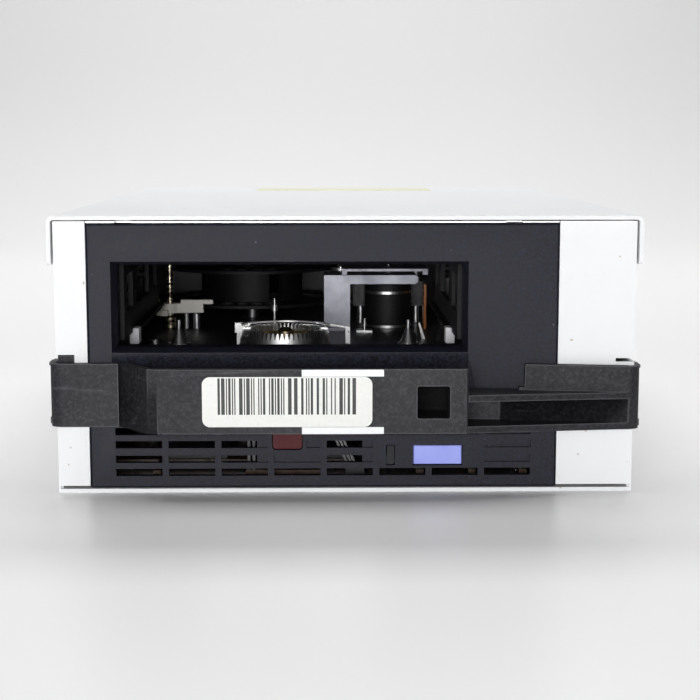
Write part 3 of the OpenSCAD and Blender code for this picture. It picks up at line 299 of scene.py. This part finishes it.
# %% Charcoal bezel moulding
def bezel_moulding():
    material, tree, shader = start_finish("charcoal_spark_texture")
    grain = lumps(tree, 0.9, 4, (1, 1, 1), 0.75)
    drift = lumps(tree, 30, 2)
    colour = tones(tree, grain, (0.38, (0.001, 0.001, 0.003)), (0.64, (0.022, 0.022, 0.04)))
    colour = mixed(tree, ranged(tree, drift, 0, 0.25), colour, (0.011, 0.011, 0.017))
    # Pale specks are painted glints, standing in for the sparkle of the spark-eroded skin.
    pale = ranged(tree, lumps(tree, 1.1, 1), 0, 0.4, 0.795, 0.82)
    colour = mixed(tree, pale, colour, (0.3, 0.3, 0.33))
    surface(tree, shader, colour, ranged(tree, grain, 0.42, 0.62), 0.24)
    relief(tree, shader, grain, 0.06, 0.6)
    return material


# %% Black cross bar moulding
def bar_moulding():
    material, tree, shader = start_finish("black_bar_moulding")
    grain = lumps(tree, 0.4, 3)
    drift = lumps(tree, 22, 3)
    colour = tones(tree, drift, (0.3, (0.006, 0.006, 0.008)), (0.7, (0.013, 0.013, 0.017)))
    # Pale edges: partly wear, partly a painted highlight where the edges catch the light.
    colour = mixed(tree, worn_and_highlit_edges(tree, 0.7, 0.55), colour, (0.2, 0.2, 0.21))
    fleck = ranged(tree, lumps(tree, 1.2, 4, (1, 1, 1), 0.75), 0, 0.6, 0.46, 0.68)
    colour = mixed(tree, fleck, colour, (0.055, 0.055, 0.066))
    scratch = ranged(tree, lumps(tree, 5, 4, (0.2, 1, 2.2)), 0, 0.4, 0.64, 0.74)
    colour = mixed(tree, scratch, colour, (0.1, 0.1, 0.11))
    surface(tree, shader, colour, ranged(tree, drift, 0.5, 0.64), 0.35)
    relief(tree, shader, grain, 0.03)
    return material


# %% Black and natural mouldings inside
def moulding(name, dark, light, grain_mm=0.5, rough=(0.4, 0.55), depth=0.03):
    material, tree, shader = start_finish(name)
    grain = lumps(tree, grain_mm, 3)
    drift = lumps(tree, 12, 3)
    colour = tones(tree, drift, (0.3, dark), (0.7, light))
    surface(tree, shader, colour, ranged(tree, grain, *rough), 0.3)
    relief(tree, shader, grain, depth)
    return material


# %% [markdown]
# ## Metals
# Rolled sheet keeps streaks along its rolling direction, turned parts keep fine rings, and castings
# keep a pebbled skin under their black coat. All are much the same network with other values.

# %% Sheet, turned and cast metal
def metal(name, dark, light, rough=(0.2, 0.35), streak=(1, 1, 1), grain_mm=1.0, depth=0.01):
    material, tree, shader = start_finish(name, metallic=1)
    streaks = lumps(tree, grain_mm, 4, streak, 0.6)
    drift = lumps(tree, 15, 3)
    colour = tones(tree, drift, (0.3, dark), (0.7, light))
    surface(tree, shader, colour, ranged(tree, streaks, *rough))
    relief(tree, shader, streaks, depth)
    return material


def ringed_brass():
    """Turned brass with dark rings painted in as shade between the beads of light along the rod."""
    material, tree, shader = start_finish("ringed_brass", metallic=1)
    rings = lumps(tree, 1.5, 2, (0.15, 0.15, 1))
    # The dark rings are painted shade; the pale rings between them are the brass itself.
    colour = tones(tree, rings, (0.44, (0.06, 0.045, 0.03)), (0.54, (0.8, 0.72, 0.55)))
    surface(tree, shader, colour, ranged(tree, rings, 0.45, 0.22))
    relief(tree, shader, rings, 0.05)
    return material


def black_casting():
    material, tree, shader = start_finish("black_coated_casting")
    skin = lumps(tree, 0.9, 4, (1, 1, 1), 0.6)
    drift = lumps(tree, 18, 3)
    colour = tones(tree, drift, (0.3, (0.011, 0.011, 0.015)), (0.7, (0.019, 0.019, 0.025)))
    # Paler edges: partly wear, partly a painted highlight.
    colour = mixed(tree, worn_and_highlit_edges(tree, 0.4, 0.5), colour, (0.06, 0.06, 0.065))
    surface(tree, shader, colour, ranged(tree, skin, 0.35, 0.6))
    relief(tree, shader, skin, 0.08, 0.6)
    return material


# %% [markdown]
# ## Circuit boards
# Solder mask over copper shows the tracks as slightly raised, lighter lines. A brick pattern with
# long thin bricks gives runs of parallel tracks, broken up by noise so that they stop and start.

# %% Boards
def board_finish(name, mask, track):
    material, tree, shader = start_finish(name)
    place = tree.nodes.new("ShaderNodeTexCoord")
    tracks = tree.nodes.new("ShaderNodeTexBrick")
    track_layout = {"Scale": 180, "Mortar Size": 0.035, "Brick Width": 1.9, "Row Height": 0.22}
    for key, value in track_layout.items():
        tracks.inputs[key].default_value = value
    tree.links.new(place.outputs["Object"], tracks.inputs["Vector"])
    broken = ranged(tree, lumps(tree, 8, 2), 0, 1, 0.45, 0.55)
    line = tree.nodes.new("ShaderNodeMath")
    line.operation = "MULTIPLY"
    tree.links.new(tracks.outputs["Fac"], line.inputs[0])
    tree.links.new(broken, line.inputs[1])
    colour = tones(tree, line.outputs["Value"], (0.0, mask), (1.0, track))
    surface(tree, shader, colour, ranged(tree, lumps(tree, 3, 3), 0.25, 0.4))
    relief(tree, shader, line.outputs["Value"], 0.03, 0.6)
    return material


# %% [markdown]
# ## The small coloured parts
# The unload button is a satin blue, the window a dark red filter over the display, the lens smoked.
# The label is coated paper and the target strips are white tape, a little cooler than the paper.
# Ink and the near-black sheet of painted shade behind the target hole borrow the moulding's network,
# with a finer grain of their own.

# %% Button, window, lens, paper and tape
def blue_button():
    material, tree, shader = start_finish("blue_button")
    drift = lumps(tree, 6, 3)
    colour = tones(tree, drift, (0.3, (0.31, 0.36, 0.88)), (0.7, (0.35, 0.4, 0.93)))
    surface(tree, shader, colour, ranged(tree, drift, 0.3, 0.42))
    relief(tree, shader, lumps(tree, 0.3, 2), 0.01, 0.4)
    return material


def red_window():
    material, tree, shader = start_finish("red_display_filter")
    weave = lumps(tree, 0.5, 2, (1, 1, 2.5))
    colour = tones(tree, weave, (0.3, (0.055, 0.008, 0.01)), (0.7, (0.095, 0.016, 0.02)))
    surface(tree, shader, colour, ranged(tree, lumps(tree, 3, 3), 0.12, 0.22), 0.1)
    return material


def label_paper(name, dark, light):
    material, tree, shader = start_finish(name)
    fibre = lumps(tree, 1.2, 4, (1, 1, 1), 0.6)
    colour = tones(tree, fibre, (0.3, dark), (0.7, light))
    surface(tree, shader, colour, ranged(tree, fibre, 0.26, 0.36))
    relief(tree, shader, fibre, 0.008, 0.4)
    return material


# %% [markdown]
# ## Give every part its finish
# Each finish is made once and shared. The table reads like a bill of materials: some parts, then the
# finish that they share.

# %% Make the finishes
white = powder_coat()
charcoal = bezel_moulding()
bar_black = bar_moulding()
casting = black_casting()
black = moulding("black_moulding", (0.003, 0.003, 0.004), (0.007, 0.007, 0.008), 0.6, (0.5, 0.66))
lens_smoke = moulding("smoked_lens", (0.008, 0.008, 0.012), (0.014, 0.014, 0.02), 0.3,
                      (0.5, 0.6), 0.004)
chips = moulding("chip_moulding", (0.03, 0.03, 0.032), (0.06, 0.06, 0.062), 0.4)
acetal = moulding("natural_acetal", (0.86, 0.86, 0.9), (0.9, 0.9, 0.93), 0.6, (0.3, 0.4), 0.01)
nylon = moulding("ivory_nylon", (0.55, 0.5, 0.36), (0.64, 0.58, 0.43), 0.6, (0.35, 0.5), 0.015)
beige = moulding("beige_resin", (0.84, 0.81, 0.74), (0.9, 0.88, 0.8), 0.7, (0.35, 0.5), 0.02)
amber_film = moulding("amber_film", (0.3, 0.09, 0.02), (0.42, 0.14, 0.03), 0.8, (0.2, 0.3), 0.004)
ink = moulding("printed_ink", (0.02, 0.02, 0.022), (0.05, 0.05, 0.052), 0.3, (0.3, 0.45), 0.003)
# A near-black sheet of painted shade, for the bezel behind the target hole.
shade_sheet = moulding("painted_shade_black", (0.001, 0.001, 0.0012), (0.003, 0.003, 0.0035), 0.4,
                (0.85, 0.95), 0.05)
zinc = metal("zinc_plated_sheet", (0.5, 0.5, 0.5), (0.64, 0.64, 0.63), (0.25, 0.42),
             (1, 0.08, 1), 0.8)
screw_steel = metal("nickel_plated_screw", (0.55, 0.55, 0.54), (0.68, 0.68, 0.67), (0.18, 0.3),
                    grain_mm=0.3)
polished = metal("polished_steel", (0.62, 0.62, 0.64), (0.8, 0.8, 0.8), (0.28, 0.42),
                 grain_mm=0.4, depth=0.006)
milled = metal("milled_aluminium", (0.42, 0.42, 0.45), (0.55, 0.55, 0.58), (0.32, 0.46),
               (1, 0.2, 0.6), 0.6)
motor_can = metal("plated_motor_can", (0.26, 0.26, 0.27), (0.38, 0.38, 0.39), (0.3, 0.42),
                  (1, 1, 0.1), 0.7)
satin = metal("satin_plate", (0.16, 0.16, 0.19), (0.36, 0.36, 0.4), (0.4, 0.55), (1, 1, 0.15), 0.5)
coil_metal = metal("bright_band", (0.6, 0.6, 0.6), (0.72, 0.72, 0.71), (0.25, 0.4), grain_mm=0.5)
tin = metal("dull_tin", (0.07, 0.07, 0.07), (0.16, 0.16, 0.16), (0.35, 0.5), grain_mm=0.4)
brass = metal("turned_brass", (0.45, 0.36, 0.22), (0.6, 0.5, 0.33), (0.25, 0.4), (1, 1, 0.2), 0.4)
rod_brass = ringed_brass()
green_board = board_finish("green_solder_mask", (0.012, 0.07, 0.03), (0.04, 0.16, 0.07))
brown_board = board_finish("tan_laminate", (0.06, 0.033, 0.02), (0.12, 0.075, 0.045))
blue = blue_button()
red = red_window()
paper = label_paper("label_paper", (0.76, 0.765, 0.735), (0.8, 0.805, 0.78))
tape = label_paper("white_tape", (0.82, 0.84, 0.86), (0.87, 0.88, 0.89))
yellow = label_paper("pale_yellow_sticker", (0.78, 0.78, 0.5), (0.83, 0.83, 0.58))

# %% Say which part has which finish
finish_of = {
    "tray_chassis tray_lid rear_panel": white,
    "lid_screws thumbscrew_left thumbscrew_right head_screw": screw_steel,
    "coil_rings sensor_levers": coil_metal,
    "flex_strip": amber_film,
    "target_bar": bar_black,
    "barcode_label": paper,
    "target_strips": tape,
    "drive_bezel": charcoal,
    "unload_button": blue,
    "status_lens": lens_smoke,
    "display_window": red,
    "drive_frame head_carriage": casting,
    "board_parts": chips,
    "front_board interface_board": green_board,
    "main_board": brown_board,
    "drive_cover drive_pan release_plate cam_slide transceiver_cages service_jack": zinc,
    "reel_motor takeup_motor head_motor loader_motor": motor_can,
    "header_pins": tin,
    "reel_clutch locating_pins guide_roller_1 guide_roller_2 guide_roller_3": polished,
    "roller_posts head_rods deck_fittings": polished,
    "clutch_core loader_pinion": brass,
    "gripper_pin": rod_brass,
    "head_bracket": satin,
    "tape_head": milled,
    "loader_gear": nylon,
    "tray_tips": acetal,
    "gripper_lever": beige,
    "pull_handle unload_switch display_module takeup_reel voice_coil": black,
    "cartridge_tray fan_frame fan_rotor power_connector": black,
}
finish_by_node = {name: finish for names, finish in finish_of.items() for name in names.split()}
for name, finish in finish_by_node.items():
    nodes[name].data.materials.clear()
    nodes[name].data.materials.append(finish)
print("parts without a finish:", sorted(set(nodes) - set(finish_by_node)))

# %% [markdown]
# ## Soft edges on mouldings and sheet
# Nothing real has a perfectly sharp edge. A moulding has a small radius, and sheet steel a thicker
# rim of paint. Each of these parts is a copy of the working part: its loose triangles are merged,
# flat fans of triangles become single faces, and a narrow bevel runs along the edges. The working
# part is then hidden, and the copy rides on the same body.

# %% Copy a working part
def copied(name, new_name):
    piece = nodes[name].copy()
    piece.data = nodes[name].data.copy()
    piece.name = new_name
    bpy.context.scene.collection.objects.link(piece)
    return piece


# %% Round the edges of a copy
merge_distance = 0.002 * mm
flat_angle = math.radians(0.4)
edge_angle = math.radians(28)
curve_angle_deg = 12


def softened(name, width_mm):
    piece = copied(name, name + "_finished")
    open_mesh(piece)
    bpy.ops.mesh.select_all(action="SELECT")
    bpy.ops.mesh.remove_doubles(threshold=merge_distance)
    bpy.ops.mesh.dissolve_limited(angle_limit=flat_angle)
    close_mesh()
    apply_modifier(piece, "BEVEL", width=width_mm * mm, segments=2, limit_method="ANGLE",
                   angle_limit=edge_angle, use_clamp_overlap=True)
    smooth(piece, curve_angle_deg)
    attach(piece, nodes[name]["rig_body"])
    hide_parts(name)
    print(piece.name, len(piece.data.polygons), "faces")


soft_edges = {
    "target_bar": 0.35, "drive_bezel": 0.25, "tray_lid": 0.2, "tray_chassis": 0.15,
    "rear_panel": 0.15, "unload_button": 0.3, "tray_tips": 0.4, "head_bracket": 0.2,
    "gripper_lever": 0.25, "cartridge_tray": 0.15, "drive_cover": 0.1,
}
for name, width in soft_edges.items():
    softened(name, width)

# %% [markdown]
# ## Cross recesses in the lid screws
# The six countersunk screws get the cross that a driver turns. A copy of them is cut with six pairs
# of thin bars. A recess only takes metal away, so the heads stay as large as they were.

# %% Cut the crosses
screw_depths = (9, 128, 244)
recess_deep = 0.7
cross_halves = ((1.4, 0.28), (0.28, 1.4))
screws_low, screws_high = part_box("lid_screws")
head_z = (screws_low.z + screws_high.z) / 2
cutters = []
for side in (-1, 1):
    cutter_x = side * (screws_high.x + (1 - recess_deep) * mm)
    for depth in screw_depths:
        for half_y, half_z in cross_halves:
            middle = Vector((cutter_x, front_y + depth * mm, head_z))
            half = Vector((1, half_y, half_z)) * mm
            cutters.append(block("cutter", middle - half, middle + half))
cutter = joined("cross_cutter", cutters)
screws = copied("lid_screws", "lid_screws_crossed")
apply_modifier(screws, "BOOLEAN", object=cutter, operation="DIFFERENCE", use_self=True)
bpy.data.objects.remove(cutter)
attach(screws, "root")
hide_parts("lid_screws")
print("crossed screws:", len(screws.data.polygons), "faces")

# %% [markdown]
# ## Threads
# A thread is a small triangle swept round and along its shank. The captive screws behind and the lead
# screw of the heads get one each. Each crest stands about a tenth of a millimetre proud.

# %% Sweep the threads
tooth_share = 0.4
sunk_share = 0.16
steps_per_turn = 20


def thread(name, body, start, radius_mm, length_mm, pitch_mm, axis):
    """A helix of a triangle from `start` along "Y" or "Z"."""
    bpy.ops.mesh.primitive_circle_add(vertices=3, radius=pitch_mm * tooth_share * mm,
                                      fill_type="NGON")
    piece = bpy.context.active_object
    piece.name = name
    open_mesh(piece, "VERT")
    bpy.ops.mesh.select_all(action="SELECT")
    bpy.ops.transform.rotate(value=math.pi / 2, orient_axis="X", center_override=(0, 0, 0))
    bpy.ops.transform.translate(value=((radius_mm - pitch_mm * sunk_share) * mm, 0, 0))
    close_mesh()
    turns = int(length_mm / pitch_mm)
    apply_modifier(piece, "SCREW", axis="Z", angle=2 * math.pi, screw_offset=pitch_mm * mm,
                   steps=steps_per_turn, render_steps=steps_per_turn, iterations=turns,
                   use_merge_vertices=False)
    if axis == "Y":
        piece.rotation_euler.x = -math.pi / 2
    piece.location = start
    fix_place(piece)
    open_mesh(piece)
    bpy.ops.mesh.select_all(action="SELECT")
    bpy.ops.mesh.normals_make_consistent(inside=False)
    close_mesh()
    smooth(piece, 40)
    piece.data.materials.append(screw_steel)
    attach(piece, body)
    print(piece.name, turns, "turns")


knob_radius = 2.0
knob_length = 7.6
knob_pitch = 0.7
knob_lead_in = 0.6 * mm
for side in ("left", "right"):
    low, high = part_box("thumbscrew_" + side)
    middle = (low + high) / 2
    shank = Vector((middle.x, low.y + knob_lead_in, middle.z))
    thread("thread_" + side, "knob_" + side, shank, knob_radius, knob_length, knob_pitch, "Y")

lead_plain_end = 1.5
lead_pitch = 0.5
low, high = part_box("head_screw")
middle = (low + high) / 2
shank = Vector((middle.x, middle.y, low.z + lead_plain_end * mm))
lead_radius = (high.x - low.x) / 2 / mm
lead_length = (high.z - low.z) / mm - 2 * lead_plain_end
thread("lead_screw_thread", "lead_screw", shank, lead_radius, lead_length, lead_pitch, "Z")

# %% [markdown]
# ## Contacts in the rear connectors
# The black power connector has seven blades in its seven chambers. The modular jack has eight thin
# wires that slope down towards its opening.

# %% Set the blades and wires
blade_half = 0.4 * mm
blade_step = 5.4 * mm
blade_inset = (2.5 * mm, 10.5 * mm)
blade_rise = (2.8 * mm, 7.2 * mm)
power_low, power_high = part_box("power_connector")
power_x = (power_low.x + power_high.x) / 2
blades = []
for place in range(-3, 4):
    x = power_x + blade_step * place
    blades.append(block("blade",
                        (x - blade_half, power_high.y - blade_inset[1], power_low.z + blade_rise[0]),
                        (x + blade_half, power_high.y - blade_inset[0], power_low.z + blade_rise[1])))
power_blades = joined("power_blades", blades)
power_blades.data.materials.append(brass)
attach(power_blades, "root")

wire_count = 8
wire_half = 0.2 * mm
wire_step = 1.02 * mm
wire_inset = (2 * mm, 9 * mm)
wire_rise = 3 * mm
wire_slope = 3.6 * mm
jack_low, jack_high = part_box("service_jack")
jack_x = (jack_low.x + jack_high.x) / 2
wires = []
for place in range(wire_count):
    x = jack_x + (place - (wire_count - 1) / 2) * wire_step
    z = jack_low.z + wire_rise
    wire = block("wire", (x - wire_half, jack_high.y - wire_inset[1], z),
                 (x + wire_half, jack_high.y - wire_inset[0], z + 2 * wire_half))
    open_mesh(wire)
    pick_faces(wire, lambda centre, normal: normal.y < -0.5)
    bpy.ops.transform.translate(value=(0, 0, wire_slope))
    close_mesh()
    wires.append(wire)
jack_wires = joined("jack_wires", wires)
jack_wires.data.materials.append(brass)
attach(jack_wires, "root")
print("blades and wires:", len(power_blades.data.polygons), len(jack_wires.data.polygons), "faces")

# %% [markdown]
# ## The label's print
# A bar code is a row of bars of three widths. These widths come from a seeded draw, so that the
# print says nothing. Each bar is a plate a fiftieth of a millimetre thick, as raised as a thermal
# print.

# %% Print the bars
print_low = label_low.x + 4.7 * mm
print_high = label_high.x - 2.9 * mm
bar_low_z = label_low.z + 3.8 * mm
bar_high_z = label_high.z - 0.35 * mm
print_thick = 0.02 * mm
draw = random.Random(7)
unit = 0.36 * mm
widths = (1, 1, 2, 3)
bars = []
x = print_low
while x < print_high - 4 * unit:
    width = unit * draw.choice(widths)
    bars.append(block("bar", (x, label_low.y - print_thick, bar_low_z),
                      (x + width, label_low.y, bar_high_z)))
    x += width + unit * draw.choice(widths)
label_print = joined("label_print", bars)
label_print.data.materials.append(ink)
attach(label_print, "root")
print("bars:", len(bars))

# %% [markdown]
# ## The dark patch behind the target hole
# A robot's sensor reads the square hole as a black mark. A near-black sheet on the bezel behind it,
# a quarter of a millimetre thick, is painted shade: it stands for the shadow that the bar casts
# there.

# %% Lay the painted shade sheet on the bezel
hole_x = 26.4 * mm
hole_z = 31.1 * mm
patch_half = 7 * mm
patch_thick = 0.25 * mm
# This sheet is painted shade, near black where the bar's shadow falls behind the hole.
shade_patch = block("painted_shade_patch", (hole_x - patch_half, front_y - patch_thick, hole_z - patch_half),
              (hole_x + patch_half, front_y, hole_z + patch_half))
shade_patch.data.materials.append(shade_sheet)
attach(shade_patch, "root")
print("patch:", [round(v / mm, 2) for v in shade_patch.dimensions])

# %% [markdown]
# ## The sticker on the lid
# A pale yellow sticker lies far back on the lid, where the camera sees it as a thin stripe. It stays
# bare, as a thin plate with round corners.

# %% Stick it on the lid
sticker_half = Vector((39, 15, 0.06)) * mm
sticker_depth = 228 * mm
corner_radius = 3 * mm
sticker_middle = Vector((2 * mm, front_y + sticker_depth, lid_top + sticker_half.z))
sticker = block("lid_sticker", sticker_middle - sticker_half, sticker_middle + sticker_half)
open_mesh(sticker, "EDGE")
pick_edges(sticker, lambda a, b: abs(a.z - b.z) > sticker_half.z)
bpy.ops.mesh.bevel(offset=corner_radius, segments=5, affect="EDGES")
close_mesh()
sticker.data.materials.append(yellow)
smooth(sticker)
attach(sticker, "root")
print("sticker:", [round(v / mm, 1) for v in sticker.dimensions])

# %% [markdown]
# ## The studio
# The floor curves up into the backdrop, so no horizon shows. A low lamp near the camera lights the
# front and reaches into the slot, but only grazes the floor. Two weak lamps fill in the sides. Two
# lamps above light the lid and the floor and leave the soft shadow in front, and a last one lifts
# the backdrop. The air is nearly black, and looks pale only where the camera sees past the backdrop.

# %% Floor and backdrop
def floor_finish():
    material, tree, shader = start_finish("studio_sweep")
    drift = lumps(tree, 300, 2)
    colour = tones(tree, drift, (0.3, (0.935, 0.933, 0.935)), (0.7, (0.95, 0.948, 0.95)))
    tree.links.new(colour, shader.inputs["Base Color"])
    shader.inputs["Roughness"].default_value = 0.34
    return material


sweep_half_width = 1.6
sweep_front = -1.1
sweep_back = 1.5
sweep_height = 1.6
sweep_radius = 0.6
bpy.ops.mesh.primitive_plane_add(size=1, location=(0, (sweep_front + sweep_back) / 2, 0))
sweep = bpy.context.active_object
sweep.name = "studio_sweep"
sweep.scale = (2 * sweep_half_width, sweep_back - sweep_front, 1)
fix_place(sweep)
open_mesh(sweep, "EDGE")
pick_edges(sweep, lambda a, b: min(a.y, b.y) > sweep_back - mm)
bpy.ops.mesh.extrude_region_move(TRANSFORM_OT_translate={"value": (0, 0, sweep_height)})
bpy.ops.mesh.select_all(action="DESELECT")
pick_edges(sweep, lambda a, b: min(a.y, b.y) > sweep_back - mm and max(a.z, b.z) < mm)
bpy.ops.mesh.bevel(offset=sweep_radius, segments=16, affect="EDGES")
close_mesh()
sweep.data.materials.append(floor_finish())
smooth(sweep, 60)

# %% Lamps and world
def soft_lamp(name, place, aim, size, power):
    data = bpy.data.lights.new(name, "AREA")
    data.shape = "RECTANGLE"
    data.size, data.size_y = size
    data.energy = power
    lamp = bpy.data.objects.new(name, data)
    lamp.location = place
    lamp.rotation_euler = (Vector(aim) - Vector(place)).to_track_quat("-Z", "Y").to_euler()
    bpy.context.scene.collection.objects.link(lamp)


soft_lamp("front_box", (-0.1, -1.0, 0.13), (0, -0.1, 0.045), (0.5, 0.3), 5.7)
soft_lamp("left_box", (-0.9, -0.7, 0.4), (0, -0.1, 0.04), (0.5, 0.7), 0.8)
soft_lamp("right_box", (0.9, -0.7, 0.4), (0, -0.1, 0.04), (0.5, 0.7), 0.9)
soft_lamp("back_top_box", (0, 0.85, 1.15), (0, 0, 0.04), (1.3, 0.35), 10.5)
soft_lamp("top_box", (0, 0.0, 1.4), (0, 0, 0.04), (1.4, 0.8), 9)
soft_lamp("backdrop_box", (0, 0.7, 0.9), (0, 1.5, 0.2), (1.4, 0.3), 1.5)

air_light = 0.05
air_seen = 0.8
world = bpy.data.worlds.new("studio_air")
world.use_nodes = True
air = world.node_tree
air.nodes["Background"].inputs["Color"].default_value = (1, 1, 1, 1)
seen = air.nodes.new("ShaderNodeLightPath")
strength = air.nodes.new("ShaderNodeMapRange")
strength.inputs["To Min"].default_value = air_light
strength.inputs["To Max"].default_value = air_seen
air.links.new(seen.outputs["Is Camera Ray"], strength.inputs["Value"])
air.links.new(strength.outputs["Result"], air.nodes["Background"].inputs["Strength"])
bpy.context.scene.world = world
bpy.context.scene.view_settings.view_transform = "Standard"
